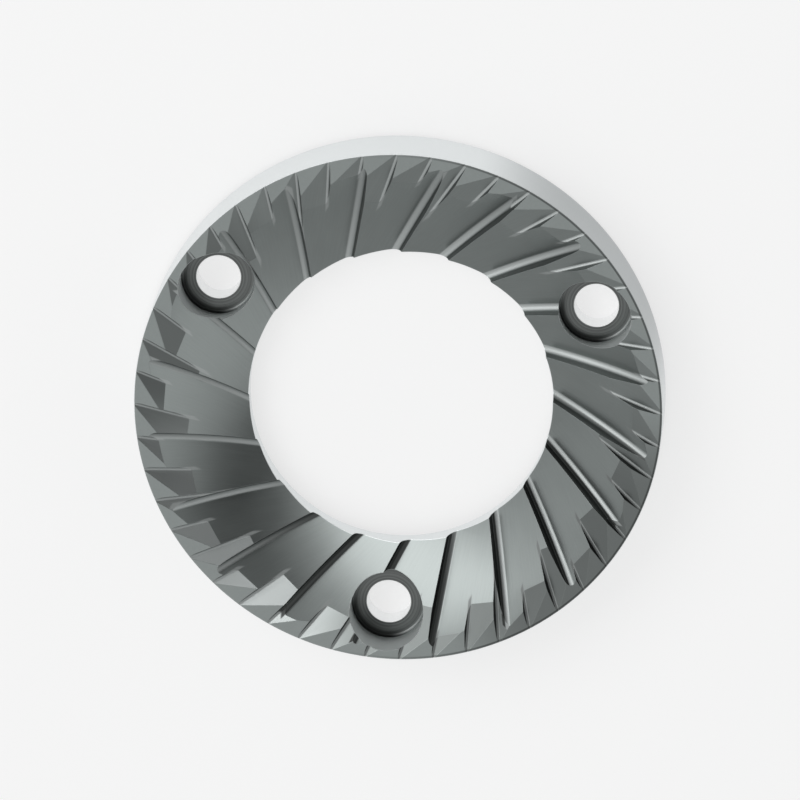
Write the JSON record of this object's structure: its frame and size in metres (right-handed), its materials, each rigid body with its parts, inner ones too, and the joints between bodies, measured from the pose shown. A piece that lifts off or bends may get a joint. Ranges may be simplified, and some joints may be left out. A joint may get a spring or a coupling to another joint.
{
  "type": "coffee grinder burr",
  "caption": "Flat steel grinding ring with sawtooth breaker grooves sweeping into fine rim teeth, a central bore and counterbored screw holes.",
  "frame": {"origin": "centre of the back face, on the axis of the bore", "axes": "+Z along the bore's axis, out of the toothed grinding face; the first screw hole lies at 30 degrees from +X"},
  "size_m": [0.064, 0.064, 0.009],
  "materials": {
    "burr_steel": "fine machined"
  },
  "bodies": {
    "root": {"burr_ring": "burr_steel"}
  },
  "joints": []
}
